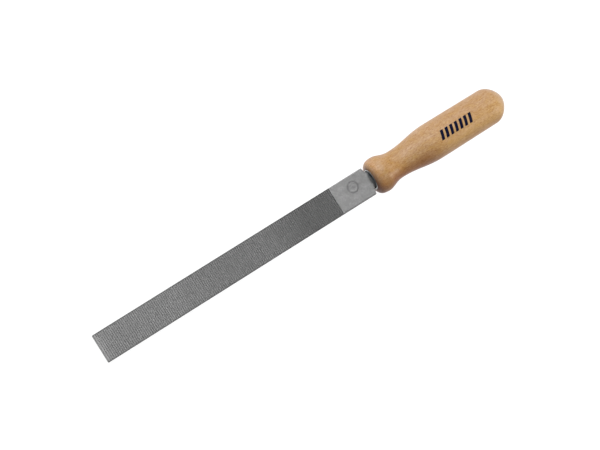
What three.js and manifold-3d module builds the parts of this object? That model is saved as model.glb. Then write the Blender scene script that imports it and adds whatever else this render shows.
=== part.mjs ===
// Flat hand file: a toothed steel blade with its tang, a turned beech handle and the steel ferrule in its nose.
// Millimetres. The origin is the centre of the blade's end face, +X runs to the handle, +Z leaves a broad face.

import * as THREE from 'three';
import Module from 'manifold-3d';
import { mergeVertices } from 'three/addons/utils/BufferGeometryUtils.js';

const wasm = await Module();
wasm.setup();

// Blade
const bladeLength = 250;
const bladeWidth = 24;
const bladeThickness = 6.3;
const edgeBevel = 0.6;
const halfWidth = bladeWidth / 2;
const halfThickness = bladeThickness / 2;

// Teeth: single cut, straight across both broad faces, with their steep sides to the tip
const toothPitch = 1.65;
const toothDepth = 0.5;
const toothFront = 0.35;
const firstTooth = 2;
const toothCount = 131;
const toothRoot = halfThickness - toothDepth;
const cutEnd = firstTooth + toothCount * toothPitch;

// Tang: the shoulders draw in to a neck, and the neck tapers to the end
const shoulderSlant = 0.9;
const shoulderHalfWidth = 9.2;
const shoulderFillet = 0.4;
const neckStart = 252.6;
const neckHalf = { y: 6.85, z: 3.05 };
const tangEnd = 316;
const tangEndHalf = { y: 2.3, z: 1.5 };

// Ferrule: a plain ring whose mouth stands a little proud of the wood
const gap = 0.3;
const ferruleFront = 252.9;
const ferruleLength = 13;
const ferruleInner = 7.8;
const ferruleWall = 1;
const ferruleLip = 0.3;
const ferruleOuter = ferruleInner + ferruleWall;
const ferruleEnd = ferruleFront + ferruleLength;

// Handle. Each station is a distance from the blade's end face and a radius, and the outline is level there.
// A larger arrive or leave holds it level for longer before or after the station.
const seatRadius = ferruleOuter + gap;
const seatFloor = ferruleEnd + gap;
const noseFace = 253.3;
const noseSlope = 1.1;
const noseCorner = 12;
const bulge = { x: 262.2, r: 15.25, leave: 4.8 };
const waist = { x: 277.6, r: 11.85, arrive: 7.3, leave: 15.7 };
const swell = { x: 315, r: 15.6, arrive: 15.5, leave: 18 };
const tail = { x: 370.5, r: 15.35, arrive: 18, leave: 8.5 };
const buttEnd = 385.7;
const buttFlat = 5;
const pilotRadius = 3.5;
const pilotEnd = 326;

// Fineness of the curves
const turningSides = 40;
const curveSteps = 8;
const filletSteps = 4;
const weldDistance = 1e-4;

// How many times the blade's own size the prisms are that cut its outline
const reach = 2;

const steel = new THREE.MeshStandardMaterial({ color: 0x85878a, roughness: 0.42, metalness: 1 });
const beech = new THREE.MeshStandardMaterial({ color: 0xc79a66, roughness: 0.45, metalness: 0 });
const ferruleSteel = new THREE.MeshStandardMaterial({ color: 0x8d928f, roughness: 0.3, metalness: 1 });

function solidFrom(geometry) {
  const bare = geometry.index ? geometry.toNonIndexed() : geometry.clone();
  bare.deleteAttribute('normal');
  bare.deleteAttribute('uv');
  const merged = mergeVertices(bare, weldDistance);
  const vertProperties = new Float32Array(merged.attributes.position.array);
  const triVerts = new Uint32Array(merged.index.array);
  return new wasm.Manifold(new wasm.Mesh({ numProp: 3, vertProperties, triVerts }));
}

function geometryFrom(solid) {
  const { vertProperties, triVerts } = solid.getMesh();
  const geometry = new THREE.BufferGeometry();
  geometry.setAttribute('position', new THREE.BufferAttribute(vertProperties, 3));
  geometry.setIndex(new THREE.BufferAttribute(triVerts, 1));
  geometry.computeVertexNormals();
  return geometry;
}

function point(x, y) {
  return new THREE.Vector2(x, y);
}

// Closes an outline that runs along +X above the axis with its mirror image below the axis.
function mirroredShape(upper) {
  const lower = upper.map(({ x, y }) => point(x, -y)).reverse();
  return new THREE.Shape([...upper, ...lower]);
}

// A prism of the given shape, centred on its own plane.
function prism(shape, depth) {
  const geometry = new THREE.ExtrudeGeometry(shape, { depth, bevelEnabled: false });
  return geometry.translate(0, 0, -depth / 2);
}

// The blade from the side: teeth, bare heel, then the tang's taper in thickness.
function sideOutline() {
  const outline = [point(0, halfThickness - edgeBevel), point(edgeBevel, halfThickness)];
  outline.push(point(firstTooth - toothFront, halfThickness));
  for (let tooth = 0; tooth < toothCount; tooth++) {
    const root = firstTooth + tooth * toothPitch;
    outline.push(point(root, toothRoot), point(root + toothFront, halfThickness));
  }
  outline.push(point(cutEnd, toothRoot), point(cutEnd + toothFront, halfThickness));
  outline.push(point(bladeLength, halfThickness));
  outline.push(point(neckStart, neckHalf.z), point(tangEnd, tangEndHalf.z));
  return outline;
}

// The blade from above: square end, parallel edges, shoulders, then the tang's taper in width.
function planOutline() {
  const shoulderFoot = point(bladeLength + shoulderSlant, shoulderHalfWidth);
  const neck = point(neckStart, neckHalf.y);
  const corner = point(shoulderFoot.x + shoulderFillet, neckHalf.y);
  const fillet = new THREE.QuadraticBezierCurve(shoulderFoot, corner, neck);
  return [
    point(0, halfWidth - edgeBevel),
    point(edgeBevel, halfWidth),
    point(bladeLength, halfWidth),
    ...fillet.getPoints(filletSteps),
    point(tangEnd, tangEndHalf.y),
  ];
}

// The blade from the end: a rectangle with its four long edges bevelled.
function sectionOutline() {
  return [
    point(-halfThickness, halfWidth - edgeBevel),
    point(edgeBevel - halfThickness, halfWidth),
    point(halfThickness - edgeBevel, halfWidth),
    point(halfThickness, halfWidth - edgeBevel),
  ];
}

function bladeGeometry() {
  const side = prism(mirroredShape(sideOutline()), reach * bladeWidth).rotateX(Math.PI / 2);
  const plan = prism(mirroredShape(planOutline()), reach * bladeWidth);
  const section = prism(mirroredShape(sectionOutline()), 2 * reach * bladeLength).rotateY(Math.PI / 2);
  return geometryFrom(solidFrom(side).intersect(solidFrom(plan)).intersect(solidFrom(section)));
}

// A bar along X with a rectangular section that changes evenly from one end to the other.
function taperedBar(startX, endX, startHalf, endHalf) {
  const bar = new THREE.BoxGeometry(2, 2, 2);
  const corners = bar.attributes.position;
  for (let i = 0; i < corners.count; i++) {
    const atStart = corners.getX(i) < 0;
    const half = atStart ? startHalf : endHalf;
    corners.setXYZ(i, atStart ? startX : endX, corners.getY(i) * half.y, corners.getZ(i) * half.z);
  }
  return bar;
}

// Turns a profile of (distance along X, radius) points about the X axis.
function turned(profile) {
  const points = profile.map(({ x, y }) => point(y, x));
  return new THREE.LatheGeometry(points, turningSides).rotateZ(-Math.PI / 2);
}

// A smooth stretch between two stations of the handle, level at both ends.
function easedStretch(from, to) {
  return new THREE.CubicBezierCurve(
    point(from.x, from.r),
    point(from.x + from.leave, from.r),
    point(to.x - to.arrive, to.r),
    point(to.x, to.r),
  );
}

function handleOutline() {
  const nose = new THREE.CubicBezierCurve(
    point(noseFace, seatRadius),
    point(noseFace + noseSlope, noseCorner),
    point(noseFace + noseSlope, bulge.r),
    point(bulge.x, bulge.r),
  );
  const butt = new THREE.CubicBezierCurve(
    point(tail.x, tail.r),
    point(tail.x + tail.leave, tail.r),
    point(buttEnd, buttFlat),
    point(buttEnd, 0),
  );
  const stretches = [
    nose,
    easedStretch(bulge, waist),
    easedStretch(waist, swell),
    easedStretch(swell, tail),
    butt,
  ];
  const outer = stretches.flatMap((stretch, order) => stretch.getPoints(curveSteps).slice(order > 0 ? 1 : 0));
  return [point(seatFloor, 0), point(seatFloor, seatRadius), ...outer];
}

function handleGeometry() {
  const pocket = taperedBar(
    seatFloor - gap,
    tangEnd + gap,
    { y: neckHalf.y + gap, z: neckHalf.z + gap },
    { y: tangEndHalf.y + gap, z: tangEndHalf.z + gap },
  );
  const pilot = turned([
    point(seatFloor - gap, 0),
    point(seatFloor - gap, pilotRadius),
    point(pilotEnd, pilotRadius),
    point(pilotEnd + pilotRadius / 2, 0),
  ]);
  const wood = solidFrom(turned(handleOutline()));
  return geometryFrom(wood.subtract(solidFrom(pocket)).subtract(solidFrom(pilot)));
}

function ferruleGeometry() {
  return turned([
    point(ferruleFront, ferruleOuter - ferruleLip),
    point(ferruleFront + ferruleLip, ferruleOuter),
    point(ferruleEnd, ferruleOuter),
    point(ferruleEnd, ferruleInner),
    point(ferruleFront + ferruleLip, ferruleInner),
    point(ferruleFront, ferruleInner + ferruleLip),
    point(ferruleFront, ferruleOuter - ferruleLip),
  ]);
}

function piece(name, geometry, material) {
  const mesh = new THREE.Mesh(geometry, material);
  mesh.name = name;
  return mesh;
}

const flatFile = new THREE.Group();
flatFile.add(piece('file_blade', bladeGeometry(), steel));
flatFile.add(piece('handle', handleGeometry(), beech));
flatFile.add(piece('ferrule', ferruleGeometry(), ferruleSteel));

export default flatFile;
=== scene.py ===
"""A flat hand file on a white light table: toothed steel blade, turned beech handle and steel ferrule.

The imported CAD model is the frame. Lengths are in millimetres and become metres as meshes are made, except
where a comment says metres. +X runs from the blade's end face to the handle, and +Z leaves the broad face
that is seen.
"""

import math
import random
from collections import namedtuple

import bpy
from mathutils import Matrix, Vector, noise


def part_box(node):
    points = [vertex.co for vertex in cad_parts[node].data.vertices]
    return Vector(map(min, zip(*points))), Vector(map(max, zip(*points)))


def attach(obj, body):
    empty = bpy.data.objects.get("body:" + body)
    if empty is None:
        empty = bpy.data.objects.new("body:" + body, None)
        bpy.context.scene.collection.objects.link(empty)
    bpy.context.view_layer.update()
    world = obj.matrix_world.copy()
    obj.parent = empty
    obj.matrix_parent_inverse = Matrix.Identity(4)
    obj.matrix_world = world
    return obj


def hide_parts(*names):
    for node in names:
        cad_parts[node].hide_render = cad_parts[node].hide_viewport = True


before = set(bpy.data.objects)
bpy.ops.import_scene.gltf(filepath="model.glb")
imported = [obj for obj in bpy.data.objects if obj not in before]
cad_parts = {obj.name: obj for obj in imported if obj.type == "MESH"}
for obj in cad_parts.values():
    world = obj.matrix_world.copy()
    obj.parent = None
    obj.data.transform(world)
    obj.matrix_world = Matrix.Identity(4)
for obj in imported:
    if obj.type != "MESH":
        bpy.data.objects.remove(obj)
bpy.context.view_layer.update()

MM = 0.001
rng = random.Random(7)

# A station of the handle's outline, which is level there. arrive and leave hold it level for longer.
Station = namedtuple("Station", "x r arrive leave", defaults=(0, 0))

# Blade, as in the CAD model. The shoulder's foot is (x, half width), and the control points of the fillet
# after it are (distance past the foot, distance outside the neck).
blade_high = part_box("file_blade")[1] / MM
half_width = blade_high.y
half_thickness = blade_high.z
tang_end = blade_high.x
blade_length = 250
edge_bevel = 0.6
shoulder_foot = (250.9, 9.2)
fillet_controls = ((0.2, 0.3), (0.5, 0.0))
neck_start = 252.6
neck_half_width = 6.85
neck_half_thickness = 3.05
tang_end_half_width = 2.3
tang_end_half_thickness = 1.5

# Teeth, spaced and sunk as in the CAD model. The shape of one is (share of the pitch, share of the depth):
# a steep front, a sharp crest and a hollow back.
first_tooth = 2
tooth_pitch = 1.65
tooth_count = 131
tooth_depth = 0.5
cut_end = first_tooth + tooth_count * tooth_pitch
last_root = cut_end + 0.05
heel_start = cut_end + 0.3
tooth_shape = ((0.0, 1.0), (0.17, 0.06), (0.2, 0.0), (0.27, 0.04), (0.55, 0.6), (0.8, 0.93))

# How uneven the cut is: the shallowest tooth's share of the depth, how far a tooth strays along the blade,
# and how deep and how fine, in waves per millimetre along and across, the tearing of its surface is
shallowest = 0.9
stray = 0.02
torn_depth = 0.02
torn_along = 0.6
torn_across = 0.25

# Where the middle of a bevelled edge's rounding lies, as a share of the bevel from either side
rounding_inset = 0.29

# Punch mark on the heel: two rings round a dot, as (radius, softness, share of the depth)
stamp_middle = (236.4, 2.3)
stamp_radius = 4.4
stamp_depth = 0.09
stamp_lines = ((stamp_radius, 0.45, 1.0), (2.3, 0.4, 0.8), (0.0, 0.7, 1.0))

# Ferrule, as in the CAD model
ferrule_low, ferrule_high = (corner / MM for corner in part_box("ferrule"))
ferrule_outer = ferrule_high.y
ferrule_wall = 1
ferrule_inner = ferrule_outer - ferrule_wall

# Handle, as in the CAD model, but with the wood closed up to the ferrule that is driven into it. The nose's
# inner edge is broken, by one distance along the handle and another outwards.
handle_low, handle_high = (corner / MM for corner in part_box("handle"))
clearance = 0.3
press_fit = 0.02
seat_radius = ferrule_outer + press_fit
nose_face = handle_low.x
nose_slope = 1.1
nose_corner = 12
broken_along = 0.12
broken_out = 0.3
bulge = Station(262.2, 15.25, leave=4.8)
waist = Station(277.6, 11.85, arrive=7.3, leave=15.7)
swell = Station(315, 15.6, arrive=15.5, leave=18)
tail = Station(370.5, 15.35, arrive=18, leave=8.5)
butt_end = handle_high.x
butt_flat = 5
pilot_radius = 3.5
pilot_end = 326

# Turned pieces: the sides of a turn, and the radius of the tiny ring that stands for a point on the axis
turning_sides = 160
pole = 0.02


# ---------------------------------------------------------------- meshes

def make_piece(name, points, faces, sharp_angle=35):
    """A mesh object from points in millimetres, smooth apart from its real edges."""
    mesh = bpy.data.meshes.new(name)
    mesh.from_pydata([Vector(p) * MM for p in points], [], faces)
    mesh.validate()
    mesh.shade_smooth()
    mesh.set_sharp_from_angle(angle=math.radians(sharp_angle))
    piece = bpy.data.objects.new(name, mesh)
    bpy.context.scene.collection.objects.link(piece)
    return piece


def loft(rings, closed=False):
    """Points and outward faces through rings of equal length, each clockwise seen from the handle.

    An open loft gets a fan over each end.
    """
    count = len(rings[0])
    points = [p for ring in rings for p in ring]
    spans = len(rings) if closed else len(rings) - 1
    faces = []
    for row in range(spans):
        here = row * count
        there = (row + 1) % len(rings) * count
        for column in range(count):
            following = (column + 1) % count
            faces.append((here + column, there + column, there + following, here + following))
    if not closed:
        for start, order in ((0, 1), ((len(rings) - 1) * count, -1)):
            middle = sum((Vector(points[start + i]) for i in range(count)), Vector()) / count
            points.append(middle)
            for column in range(count):
                pair = (start + column, start + (column + 1) % count)[::order]
                faces.append((len(points) - 1, *pair))
    return points, faces


def shares(steps):
    """Even shares of the way along a stretch, without its start."""
    return [step / steps for step in range(1, steps + 1)]


def part_way(start, end, share):
    return start + (end - start) * share


def bezier(a, b, c, d, steps):
    """Points along a cubic curve, without the first."""
    found = []
    for t in shares(steps):
        rest = 1 - t
        weights = (rest**3, 3 * rest * rest * t, 3 * rest * t * t, t**3)
        found.append(tuple(sum(w * p[i] for w, p in zip(weights, (a, b, c, d))) for i in (0, 1)))
    return found


# ---------------------------------------------------------------- blade

def tooth_stations():
    """(x, depth below the crest line) along the cut."""
    stations = []
    for tooth in range(tooth_count):
        start = first_tooth + tooth * tooth_pitch
        depth = tooth_depth * rng.uniform(shallowest, 1.0)
        drift = rng.uniform(-stray, stray)
        for along, share in tooth_shape:
            stations.append((start + along * tooth_pitch + drift, share * depth))
    return stations + [(last_root, tooth_depth), (heel_start, 0.0)]


def end_stations(steps=3):
    """The rounded edge of the end face, as (x, half width, half thickness, depth of cut)."""
    stations = []
    for step in range(steps + 1):
        turn = step / steps * math.pi / 2
        inset = edge_bevel * (1 - math.sin(turn))
        stations.append((edge_bevel * (1 - math.cos(turn)), half_width - inset, half_thickness - inset, 0))
    return stations


def shoulder_stations(slant_steps=3, fillet_steps=5):
    """The slanted shoulders and the fillet into the neck, drawn in to the neck's thickness evenly."""
    foot_x, foot_half_width = shoulder_foot
    slant = [
        (part_way(blade_length, foot_x, t), part_way(half_width, foot_half_width, t))
        for t in shares(slant_steps)
    ]
    controls = [(foot_x + past, neck_half_width + outside) for past, outside in fillet_controls]
    fillet = bezier(shoulder_foot, *controls, (neck_start, neck_half_width), steps=fillet_steps)
    stations = []
    for x, width in slant + fillet:
        share = (x - blade_length) / (neck_start - blade_length)
        stations.append((x, width, part_way(half_thickness, neck_half_thickness, share), 0))
    return stations


def tang_stations(steps=16):
    """The tang, tapering evenly in width and thickness."""
    stations = []
    for t in shares(steps):
        width = part_way(neck_half_width, tang_end_half_width, t)
        thickness = part_way(neck_half_thickness, tang_end_half_thickness, t)
        stations.append((part_way(neck_start, tang_end, t), width, thickness, 0))
    return stations


def blade_stations(heel_steps=90):
    """(x, half width, half thickness, depth of cut) of each ring, from the end face to the tang's end."""
    cut = [(x, half_width, half_thickness, depth) for x, depth in tooth_stations()]
    heel = [
        (part_way(heel_start, blade_length, t), half_width, half_thickness, 0)
        for t in shares(heel_steps)
    ]
    return end_stations() + cut + heel + shoulder_stations() + tang_stations()


def punch_mark(x, y):
    """Depth of the punch mark at a point of the heel."""
    distance = math.hypot(x - stamp_middle[0], y - stamp_middle[1])
    return stamp_depth * max(
        share * math.exp(-(((distance - radius) / softness) ** 2))
        for radius, softness, share in stamp_lines
    )


def tearing(x, y):
    """Depth of the torn surface at a point of the cut, from one level slice of a solid noise."""
    slice_height = 3.0
    place = Vector((x * torn_along, y * torn_across, slice_height))
    return torn_depth * abs(noise.noise(place))


def blade_ring(x, width, thickness, depth, flat_steps=54):
    """One closed section of the blade, clockwise seen from the handle, marked and torn on top only."""
    bevel = edge_bevel * (width / half_width) ** 2
    upper_flat = []
    lower_flat = []
    for step in range(flat_steps + 1):
        y = (width - bevel) * (2 * step / flat_steps - 1)
        torn = tearing(x, y) if depth else 0.0
        marked = punch_mark(x, y) if cut_end < x < blade_length else 0.0
        upper_flat.append((y, thickness - depth - marked - torn))
        lower_flat.append((y, thickness - depth))
    inset = rounding_inset * bevel
    corner_y = width - inset
    corner_z = thickness - max(inset, depth)
    left = [(-width, thickness - bevel), (-corner_y, corner_z)]
    right = [(corner_y, corner_z), (width, thickness - bevel)]
    upper = [(x, y, z) for y, z in left + upper_flat + right]
    lower = [(x, y, -z) for y, z in reversed(left + lower_flat + right)]
    return upper + lower


def make_blade():
    points, faces = loft([blade_ring(*station) for station in blade_stations()])
    return make_piece("blade", points, faces, sharp_angle=28)


# ---------------------------------------------------------------- handle and ferrule

def turned_ring(x, radius):
    """A circle about the X axis, clockwise seen from the handle. radius may be a function of the angle."""
    ring = []
    for side in range(turning_sides):
        angle = -2 * math.pi * side / turning_sides
        r = radius(angle) if callable(radius) else radius
        ring.append((x, r * math.cos(angle), r * math.sin(angle)))
    return ring


def eased(start, end, steps):
    """A stretch of the handle's outline between two stations, level at both ends."""
    return bezier(
        (start.x, start.r),
        (start.x + start.leave, start.r),
        (end.x - end.arrive, end.r),
        (end.x, end.r),
        steps,
    )


def handle_profile():
    """(x, radius) down the outside of the handle, from the ferrule's seat to the butt."""
    seat_edge = (nose_face + broken_along, seat_radius)
    nose_start = (nose_face, seat_radius + broken_out)
    nose = bezier(
        nose_start,
        (nose_face + nose_slope, nose_corner),
        (nose_face + nose_slope, bulge.r),
        (bulge.x, bulge.r),
        steps=18,
    )
    butt = bezier(
        (tail.x, tail.r),
        (tail.x + tail.leave, tail.r),
        (butt_end, butt_flat),
        (butt_end, pole),
        steps=24,
    )
    profile = [seat_edge, nose_start, *nose]
    profile += eased(bulge, waist, steps=18)
    profile += eased(waist, swell, steps=24)
    profile += eased(swell, tail, steps=16)
    return profile + butt


def pocket_radius(tang_half_width, tang_half_thickness):
    """The edge of the tang pocket as a radius for each angle, never inside the pilot hole."""
    half_y = tang_half_width + clearance
    half_z = tang_half_thickness + clearance

    def radius(angle):
        across = abs(math.cos(angle)) / half_y
        up = abs(math.sin(angle)) / half_z
        return max(1 / max(across, up), pilot_radius)

    return radius


def make_handle():
    seat_floor = ferrule_high.x + clearance
    pocket_end = tang_end + clearance
    inside = [
        (pilot_end + pilot_radius / 2, pole),
        (pilot_end, pilot_radius),
        (pocket_end, pilot_radius),
        (pocket_end, pocket_radius(tang_end_half_width, tang_end_half_thickness)),
        (seat_floor, pocket_radius(neck_half_width, neck_half_thickness)),
        (seat_floor, seat_radius),
    ]
    points, faces = loft([turned_ring(x, radius) for x, radius in inside + handle_profile()])
    return make_piece("beech_handle", points, faces, sharp_angle=40)


def make_ferrule(lip_steps=10):
    """A ring whose front is rounded over from bore to outside."""
    front, back = ferrule_low.x, ferrule_high.x
    lip = ferrule_wall / 2
    profile = []
    for step in range(lip_steps + 1):
        angle = math.pi * step / lip_steps
        profile.append((front + lip - lip * math.sin(angle), ferrule_inner + lip - lip * math.cos(angle)))
    profile += [(back, ferrule_outer), (back, ferrule_inner)]
    points, faces = loft([turned_ring(x, radius) for x, radius in profile], closed=True)
    return make_piece("steel_ferrule", points, faces, sharp_angle=40)


# ---------------------------------------------------------------- materials

def tone(red, green, blue):
    """An opaque colour, in linear light."""
    return (red, green, blue, 1)


def grey(level):
    return tone(level, level, level)


# Steel of the blade
tooth_root = grey(0.31)
tooth_crest = grey(0.37)
tooth_dust = tone(0.31, 0.31, 0.308)
heel_grey = grey(0.2)
heel_bright = tone(0.275, 0.275, 0.274)
heel_dull = grey(0.17)
mark_stain = grey(0.06)
edge_darkening = grey(0.08)
dark_scale = tone(0.17, 0.18, 0.19)
pale_scale = tone(0.27, 0.28, 0.29)

# Ferrule
tube_spot = tone(0.17, 0.18, 0.175)
tube_grey = tone(0.27, 0.28, 0.27)
# Painted glint for the sides of the ferrule's lip
painted_lip_glint = tone(0.62, 0.62, 0.61)
# Painted shade for the inside of the ferrule's bore
painted_bore_shade = tone(0.13, 0.138, 0.145)

# Beech
beech_brown = tone(0.345, 0.203, 0.094)
beech_pale = tone(0.388, 0.24, 0.122)
streak_brown = tone(0.31, 0.17, 0.062)
late_wood = tone(0.26, 0.135, 0.05)
pink_patch = tone(0.4, 0.26, 0.155)
yellow_patch = tone(0.36, 0.205, 0.065)
dark_fleck = tone(0.22, 0.1, 0.03)
pale_fleck = tone(0.46, 0.31, 0.16)
ray_brown = tone(0.22, 0.09, 0.02)
pore_brown = tone(0.2, 0.095, 0.035)
# Painted shade for the nose's face and round the ferrule
painted_nose_shade = tone(0.13, 0.056, 0.042)
ink_black = tone(0.004, 0.006, 0.02)


class Surface:
    """Builds one material's nodes. Positions are the object's own, in millimetres."""

    def __init__(self, name):
        self.material = bpy.data.materials.new(name)
        self.material.use_nodes = True
        self.tree = self.material.node_tree
        self.shader = self.tree.nodes["Principled BSDF"]
        place = self.add("ShaderNodeTexCoord").outputs["Object"]
        self.place = self.vector("SCALE", place, scale=1 / MM)
        self.x, self.y, self.z = self.add("ShaderNodeSeparateXYZ", {"Vector": self.place}).outputs

    def put(self, value, socket):
        if isinstance(value, bpy.types.NodeSocket):
            self.tree.links.new(value, socket)
        else:
            socket.default_value = value

    def add(self, kind, inputs=None, **settings):
        made = self.tree.nodes.new(kind)
        for name, value in settings.items():
            setattr(made, name, value)
        for name, value in (inputs or {}).items():
            self.put(value, made.inputs[name])
        return made

    def math(self, operation, *values):
        return self.add("ShaderNodeMath", dict(enumerate(values)), operation=operation).outputs[0]

    def product(self, first, *others):
        for other in others:
            first = self.math("MULTIPLY", first, other)
        return first

    def total(self, first, *others):
        for other in others:
            first = self.math("ADD", first, other)
        return first

    def vector(self, operation, first, second=None, scale=None):
        inputs = {0: first}
        if second is not None:
            inputs[1] = second
        if scale is not None:
            inputs["Scale"] = scale
        return self.add("ShaderNodeVectorMath", inputs, operation=operation).outputs[0]

    def stretched(self, x, y, z):
        """The position with each axis divided by the pattern's size that way, in millimetres."""
        return self.vector("MULTIPLY", self.place, (1 / x, 1 / y, 1 / z))

    def distance_from_axis(self):
        return self.math("SQRT", self.total(self.math("POWER", self.y, 2.0), self.math("POWER", self.z, 2.0)))

    def noise(self, place, detail=3, roughness=0.5):
        """A cloudy pattern that is mostly between 0.3 and 0.7, and 0.5 on average."""
        inputs = {"Vector": place, "Scale": 1.0, "Detail": detail, "Roughness": roughness}
        return self.add("ShaderNodeTexNoise", inputs).outputs[0]

    def between(self, value, low, high, to_low=0.0, to_high=1.0):
        """Maps low..high to to_low..to_high, held at both ends. low may be the larger one."""
        inputs = {"Value": value, "From Min": low, "From Max": high, "To Min": to_low, "To Max": to_high}
        return self.add("ShaderNodeMapRange", inputs, clamp=True).outputs[0]

    def along(self, none_at, all_at):
        """0 to 1 from one place along the file to another, in millimetres from the blade's end face."""
        return self.between(self.x, none_at, all_at)

    def across(self, none_at, all_at):
        """0 to 1 from one place across the file to another, in millimetres from its middle."""
        return self.between(self.y, none_at, all_at)

    def mix(self, share, first, second, blend="MIX"):
        made = self.add("ShaderNodeMix", data_type="RGBA", blend_type=blend)
        for name, value in (("Factor_Float", share), ("A_Color", first), ("B_Color", second)):
            self.put(value, next(socket for socket in made.inputs if socket.identifier == name))
        return next(socket for socket in made.outputs if socket.identifier == "Result_Color")

    def layered(self, color, layers, blend="MIX"):
        """A colour with each (share, tone) of the layers blended over what is under it, in order."""
        for share, layer in layers:
            color = self.mix(share, color, layer, blend)
        return color

    def bump(self, height, distance):
        return self.add("ShaderNodeBump", {"Height": height, "Distance": distance * MM}).outputs[0]

    def finish(self, **values):
        for name, value in values.items():
            self.put(value, self.shader.inputs[name.replace("_", " ")])
        return self.material


def cut_color(steel, cloud):
    """The cut: lighter on the crests than in the roots, with painted light that brightens and dims it in
    stretches along the blade.
    """
    height = steel.math("ABSOLUTE", steel.z)
    on_crest = steel.between(height, half_thickness - tooth_depth, half_thickness - 0.05)
    color = steel.mix(on_crest, tooth_root, tooth_crest)
    color = steel.mix(steel.between(cloud, 0.35, 0.65, to_high=0.35), color, tooth_dust)
    # Painted light and reflection: each stretch of the cut is painted brighter or darker along the blade
    painted_light_along_cut = (
        {"low": 60, "high": 115, "to_low": 0.88, "to_high": 0.74},
        {"low": 157, "high": 190, "to_low": 1.0, "to_high": 0.71},
        {"low": 2, "high": 8, "to_low": 1.2, "to_high": 1.0},
    )
    brightness = steel.product(*(steel.between(steel.x, **change) for change in painted_light_along_cut))
    return steel.vector("SCALE", color, scale=brightness)


def stain_share(steel, blotch):
    """How dark the heel is with dirt in and beside the lines of the punch mark."""
    offset = steel.vector("SUBTRACT", steel.place, (*stamp_middle, 0.0))
    level_offset = steel.vector("MULTIPLY", offset, (1.0, 1.0, 0.0))
    from_middle = steel.add("ShaderNodeVectorMath", {0: level_offset}, operation="LENGTH").outputs["Value"]
    from_ring = steel.math("ABSOLUTE", steel.math("SUBTRACT", from_middle, stamp_radius))
    at_ring = steel.between(from_ring, 1.3, 0.1, to_high=0.5)
    at_dot = steel.between(from_middle, 2.0, 0.5, to_high=0.6)
    return steel.product(steel.math("MAXIMUM", at_ring, at_dot), steel.between(blotch, 0.3, 0.6, 0.5, 1.0))


def heel_color(steel, cloud, mottle, blotch):
    """The ground heel: mottled, with duller patches of two sizes and a stain in the punch mark."""
    layers = (
        (steel.between(blotch, 0.38, 0.62, to_high=0.45), heel_dull),
        (steel.between(cloud, 0.42, 0.6, to_high=0.4), heel_dull),
        (stain_share(steel, blotch), mark_stain),
    )
    ground = steel.mix(steel.between(mottle, 0.35, 0.65), heel_grey, heel_bright)
    return steel.layered(ground, layers)


def scaled_share(steel, mottle):
    """1 on the neck and tang, where the forging scale was left, past a curved and slightly ragged edge."""
    middle_y = 3.0
    curve_depth = 0.9
    raggedness = 0.25
    off_middle = steel.math("DIVIDE", steel.math("SUBTRACT", steel.y, middle_y), neck_half_width)
    curved = steel.math("SUBTRACT", steel.x, steel.product(steel.math("POWER", off_middle, 2.0), curve_depth))
    ragged = steel.total(curved, steel.between(mottle, 0.3, 0.7, -raggedness, raggedness))
    return steel.between(ragged, blade_length + 1.9, blade_length + 2.4)


def file_steel():
    """Hardened steel: dull in the cut, bright on the ground heel, dark by the edges, scaled on the tang."""
    steel = Surface("file_steel")
    cloud = steel.noise(steel.stretched(9, 7, 7), detail=4)
    grain = steel.noise(steel.stretched(0.4, 5, 0.5), detail=3)
    mottle = steel.noise(steel.stretched(1.6, 1.6, 1.6), detail=4, roughness=0.65)
    blotch = steel.noise(steel.stretched(4.5, 4.5, 4.5), detail=3)
    on_heel = steel.along(cut_end + 0.1, heel_start)
    by_edge = steel.between(steel.math("ABSOLUTE", steel.y), half_width - 1.3, half_width - 0.7, to_high=0.35)
    on_tang = scaled_share(steel, mottle)
    color = steel.mix(on_heel, cut_color(steel, cloud), heel_color(steel, cloud, mottle, blotch))
    color = steel.mix(by_edge, color, edge_darkening)
    scaled = steel.mix(steel.between(mottle, 0.35, 0.65), dark_scale, pale_scale)
    roughness = steel.total(
        steel.between(mottle, 0.3, 0.7, 0.46, 0.54),
        steel.between(on_heel, 0, 1, to_low=0.2, to_high=0.0),
        steel.product(steel.math("MAXIMUM", on_tang, by_edge), 0.2),
    )
    return steel.finish(
        Base_Color=steel.mix(on_tang, color, scaled),
        Metallic=steel.between(on_tang, 0, 1, to_low=1.0, to_high=0.6),
        Roughness=roughness,
        Normal=steel.bump(steel.total(grain, steel.product(mottle, 0.6)), distance=0.02),
    )


def ferrule_steel():
    """Drawn steel tube, a little dull, with a painted glint on the sides of its lip and painted shade in its
    bore.
    """
    tube = Surface("ferrule_steel")
    drawn = tube.noise(tube.stretched(6, 0.3, 0.3), detail=3)
    spots = tube.noise(tube.stretched(1.2, 1.2, 1.2), detail=4)
    # Painted glint: the sides of the lip are painted bright, where they would catch the light
    glint_on_sides = tube.between(tube.math("ABSOLUTE", tube.y), 6.0, 7.6)
    # Painted shade inside the bore
    in_bore = tube.between(tube.distance_from_axis(), ferrule_inner + 0.3, ferrule_inner + 0.05)
    color = tube.mix(tube.between(spots, 0.35, 0.65), tube_spot, tube_grey)
    return tube.finish(
        Base_Color=tube.layered(color, ((glint_on_sides, painted_lip_glint), (in_bore, painted_bore_shade))),
        Metallic=1.0,
        Roughness=tube.between(spots, 0.3, 0.7, 0.36, 0.5),
        Normal=tube.bump(drawn, distance=0.02),
    )


def printed_bars(wood):
    """A printed mark of slanted bars on the upper side of the handle: 1 on the ink, 0 off it."""
    first, last = 317.7, 350.4
    half_height = 4.0
    bar_count = 7
    bar_share = 0.6
    slant = 0.3
    pitch = (last - first) / bar_count
    along = wood.math("SUBTRACT", wood.math("SUBTRACT", wood.x, first), wood.product(wood.y, slant))
    return wood.product(
        wood.math("LESS_THAN", wood.math("MODULO", along, pitch), pitch * bar_share),
        wood.math("GREATER_THAN", along, 0.0),
        wood.math("LESS_THAN", along, last - first),
        wood.math("LESS_THAN", wood.math("ABSOLUTE", wood.y), half_height),
        wood.math("GREATER_THAN", wood.z, 0.0),
    )


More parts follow.
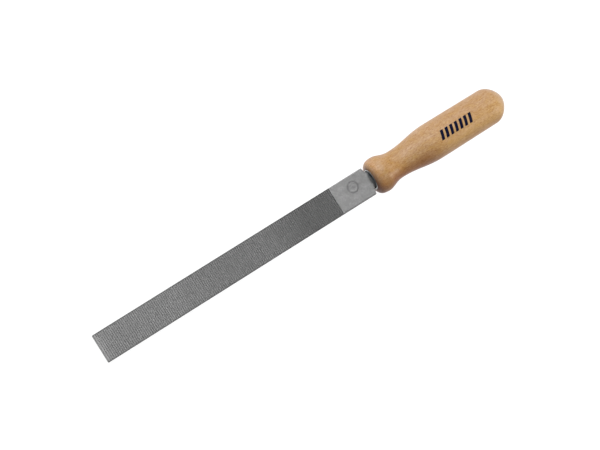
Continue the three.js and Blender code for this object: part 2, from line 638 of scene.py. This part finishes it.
def growth_rings(wood):
    """Late wood from 0 to 1. The rings are nearly level planes that the turned surface cuts at a slant."""
    ring_spacing = 1.3
    across_rings = (0.045, -0.5, 0.86)
    wander_depth = 5.0
    early_wood_end = 0.2
    darkest = 0.9
    wander = wood.product(wood.noise(wood.stretched(38, 13, 13), detail=2), wander_depth)
    made = wood.add("ShaderNodeVectorMath", {0: wood.place, 1: across_rings}, operation="DOT_PRODUCT")
    depth = wood.total(made.outputs["Value"], wander)
    phase = wood.math("FRACT", wood.math("DIVIDE", depth, ring_spacing))
    return wood.product(wood.between(phase, early_wood_end, darkest), wood.between(phase, 1.0, darkest))


def beech_figure(wood, streak, pore):
    """Bare beech: brown clouds, streaks and rings, pink and yellow patches, short dark flecks and pores."""
    cloud = wood.noise(wood.stretched(34, 11, 11), detail=3)
    fleck = wood.noise(wood.stretched(2.2, 0.75, 0.75), detail=3, roughness=0.6)
    ray = wood.noise(wood.stretched(3.4, 0.8, 0.8), detail=2, roughness=0.6)
    patch = wood.noise(wood.stretched(7, 3, 3), detail=3, roughness=0.6)
    off_low_waist = wood.math("MAXIMUM", wood.across(-6, -1), wood.along(285, 305))
    layers = (
        (wood.between(streak, 0.3, 0.7, to_high=0.6), streak_brown),
        (wood.product(growth_rings(wood), 0.22), late_wood),
        (wood.product(wood.between(patch, 0.5, 0.68, to_high=0.5), off_low_waist), pink_patch),
        (wood.between(patch, 0.5, 0.32, to_high=0.7), yellow_patch),
        (wood.between(fleck, 0.53, 0.67, to_high=0.65), dark_fleck),
        (wood.between(fleck, 0.47, 0.33, to_high=0.5), pale_fleck),
        (wood.between(ray, 0.61, 0.67, to_high=0.6), ray_brown),
        (wood.between(pore, 0.58, 0.72, to_high=0.6), pore_brown),
    )
    ground = wood.mix(wood.between(cloud, 0.35, 0.65), beech_brown, beech_pale)
    return wood.layered(ground, layers)


def beech_painted_light(wood):
    """Painted light and shade: (share, tint) of each part of the handle painted paler or browner than the
    rest. Low is towards -Y.
    """
    near_waist = wood.along(320, 297)
    near_nose = wood.along(260.5, 257)
    on_bulge = wood.product(wood.along(255, 258), wood.along(268, 263))
    low_tail = wood.product(wood.along(300, 326), wood.across(4, -9))
    low_waist = wood.product(near_waist, wood.across(-3.8, -9.5))
    upper_waist = wood.product(wood.across(0.5, 3.5), wood.across(9, 6.5), near_waist, wood.along(262, 268))
    hollow = wood.product(wood.along(262, 267), wood.along(286, 277), wood.across(3, -4))
    # Painted light and shade: each tint stands in for more or less light falling on that part
    return (
        (low_tail, tone(1.19, 1.18, 0.95)),
        (low_waist, wood.mix(on_bulge, tone(0.73, 0.54, 0.36), tone(0.92, 0.78, 0.58))),
        (upper_waist, tone(0.95, 0.93, 0.88)),
        (hollow, tone(0.96, 0.85, 0.58)),
        (near_nose, tone(1.14, 1.11, 1.15)),
        (wood.product(near_nose, wood.across(-9, -13)), tone(0.68, 0.66, 0.66)),
        (wood.across(-10, -14), tone(0.8, 0.76, 0.75)),
        (wood.across(5, 13), tone(1.0, 1.01, 1.07)),
        (wood.along(372, 383), tone(0.94, 1.03, 1.2)),
    )


def nose_painted_shade(wood):
    """Painted shade on the nose's face, mostly on its low side, and in a ring round the ferrule."""
    on_face = wood.along(nose_face + 1.9, nose_face + 0.2)
    on_low_face = wood.product(on_face, wood.between(wood.y, 9, -9, to_high=0.9))
    by_ring = wood.between(wood.distance_from_axis(), ferrule_outer + 2.2, ferrule_outer + 0.4, to_high=0.8)
    before_bulge = wood.math("LESS_THAN", wood.x, bulge.x)
    return wood.math("MAXIMUM", on_low_face, wood.product(by_ring, before_bulge))


def beech():
    """Waxed beech with painted shade round the waist and on the nose, painted light elsewhere, and a printed
    mark.
    """
    wood = Surface("beech")
    streak = wood.noise(wood.stretched(16, 1.1, 1.1), detail=4, roughness=0.6)
    pore = wood.noise(wood.stretched(1.2, 0.3, 0.3), detail=2)
    ink = wood.product(printed_bars(wood), wood.between(pore, 0.25, 0.4, 0.9, 1.0))
    # Painted light and shade over the whole handle
    shaded = wood.layered(beech_figure(wood, streak, pore), beech_painted_light(wood), blend="MULTIPLY")
    # Painted shade on the nose
    nose_shaded = wood.mix(nose_painted_shade(wood), shaded, painted_nose_shade)
    grain = wood.bump(wood.total(pore, wood.product(streak, 0.7)), distance=0.05)
    return wood.finish(
        Base_Color=wood.mix(ink, nose_shaded, ink_black),
        Roughness=wood.between(streak, 0.3, 0.7, 0.5, 0.62),
        Specular_IOR_Level=wood.between(ink, 0, 1, to_low=0.1, to_high=0.0),
        Coat_Weight=wood.between(ink, 0, 1, to_low=0.28, to_high=0.0),
        Coat_Roughness=0.28,
        Coat_Normal=grain,
        Sheen_Weight=0.2,
        Sheen_Roughness=0.35,
        Sheen_Tint=tone(0.8, 0.8, 1.0),
        Normal=grain,
    )


def light_table():
    """White acrylic lit from below, so the floor stays white and hardly shows a shadow."""
    table = Surface("light_table")
    soft = table.noise(table.stretched(60, 60, 60), detail=2)
    return table.finish(
        Base_Color=table.mix(soft, grey(0.11), grey(0.13)),
        Roughness=0.9,
        Emission_Color=grey(1),
        Emission_Strength=0.96,
    )


# ---------------------------------------------------------------- scene

def resting_slope():
    """How steeply the floor falls towards the handle, with the file lying on its end and its handle."""
    handle_points = (v.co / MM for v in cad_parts["handle"].data.vertices)
    return max((-p.z - half_thickness) / p.x for p in handle_points)


def make_floor(slope):
    reach = 30000
    outline = ((-reach, -reach), (reach, -reach), (reach, reach), (-reach, reach))
    corners = [(x, y, -half_thickness - slope * x) for x, y in outline]
    floor = make_piece("floor", corners, [(0, 1, 2, 3)])
    floor.data.materials.append(light_table())


def soft_light(name, place, target, size, power):
    """A square area light, aimed at a point. Places and size are in metres and power is in watts."""
    data = bpy.data.lights.new(name, "AREA")
    data.shape = "SQUARE"
    data.size = size
    data.energy = power
    light = bpy.data.objects.new(name, data)
    light.location = place
    light.rotation_euler = (Vector(target) - Vector(place)).to_track_quat("-Z", "Y").to_euler()
    bpy.context.scene.collection.objects.link(light)


def make_lights(middle):
    """A broad key from above +Y, a small light overhead towards the handle, and a weak one by the butt."""
    near_butt = middle + Vector((0.1, 0, 0))
    soft_light("key", middle + Vector((0.2, 1.1, 1.25)), middle, size=1.3, power=40)
    soft_light("top", middle + Vector((0.52, 0.2, 1.8)), middle, size=0.45, power=4.6)
    soft_light("butt_fill", middle + Vector((0.42, -0.25, 0.2)), near_butt, size=0.2, power=1.2)


def make_world():
    """A white studio, bright near the horizon and dim overhead. Its heights are the Z of a direction."""
    bright_up_to, dim_from = 0.1, 0.22
    bright, dim = 1.0, 0.12
    world = bpy.data.worlds.new("studio")
    world.use_nodes = True
    tree = world.node_tree
    direction = tree.nodes.new("ShaderNodeTexCoord").outputs["Generated"]
    split = tree.nodes.new("ShaderNodeSeparateXYZ")
    fade = tree.nodes.new("ShaderNodeMapRange")
    fade.interpolation_type = "SMOOTHSTEP"
    ends = {"From Min": bright_up_to, "From Max": dim_from, "To Min": bright, "To Max": dim}
    for name, value in ends.items():
        fade.inputs[name].default_value = value
    tree.links.new(direction, split.inputs[0])
    tree.links.new(split.outputs["Z"], fade.inputs["Value"])
    tree.nodes["Background"].inputs["Color"].default_value = grey(1)
    tree.links.new(fade.outputs[0], tree.nodes["Background"].inputs["Strength"])
    bpy.context.scene.world = world


def make_camera(middle):
    """Looks at the broad face from a little towards the blade's end, with the file rising to the right."""
    lean = math.radians(16)
    roll = math.radians(32.07)
    distance_in_metres = 1.31
    data = bpy.data.cameras.new("camera")
    data.sensor_width = 36
    data.lens = 100.5
    data.clip_end = 50
    camera = bpy.data.objects.new("camera", data)
    along = Vector((math.cos(lean), 0, math.sin(lean)))
    across = Vector((0, 1, 0))
    back = Vector((-math.sin(lean), 0, math.cos(lean)))
    right = along * math.cos(roll) - across * math.sin(roll)
    up = along * math.sin(roll) + across * math.cos(roll)
    axes = Matrix((right, up, back)).transposed()
    camera.matrix_world = Matrix.Translation(middle + back * distance_in_metres) @ axes.to_4x4()
    bpy.context.scene.collection.objects.link(camera)
    bpy.context.scene.camera = camera


def dress(piece, material, node):
    """Puts a detailed piece in the place of its CAD node."""
    piece.data.materials.append(material)
    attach(piece, "root")
    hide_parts(node)


dress(make_blade(), file_steel(), "file_blade")
dress(make_handle(), beech(), "handle")
dress(make_ferrule(), ferrule_steel(), "ferrule")

# The point that the camera looks at, in metres: just short of the middle of the file
view_middle = Vector((0.1839, -0.0006, 0))
make_floor(resting_slope())
make_lights(view_middle)
make_world()
make_camera(view_middle)
bpy.context.scene.view_settings.view_transform = "Standard"
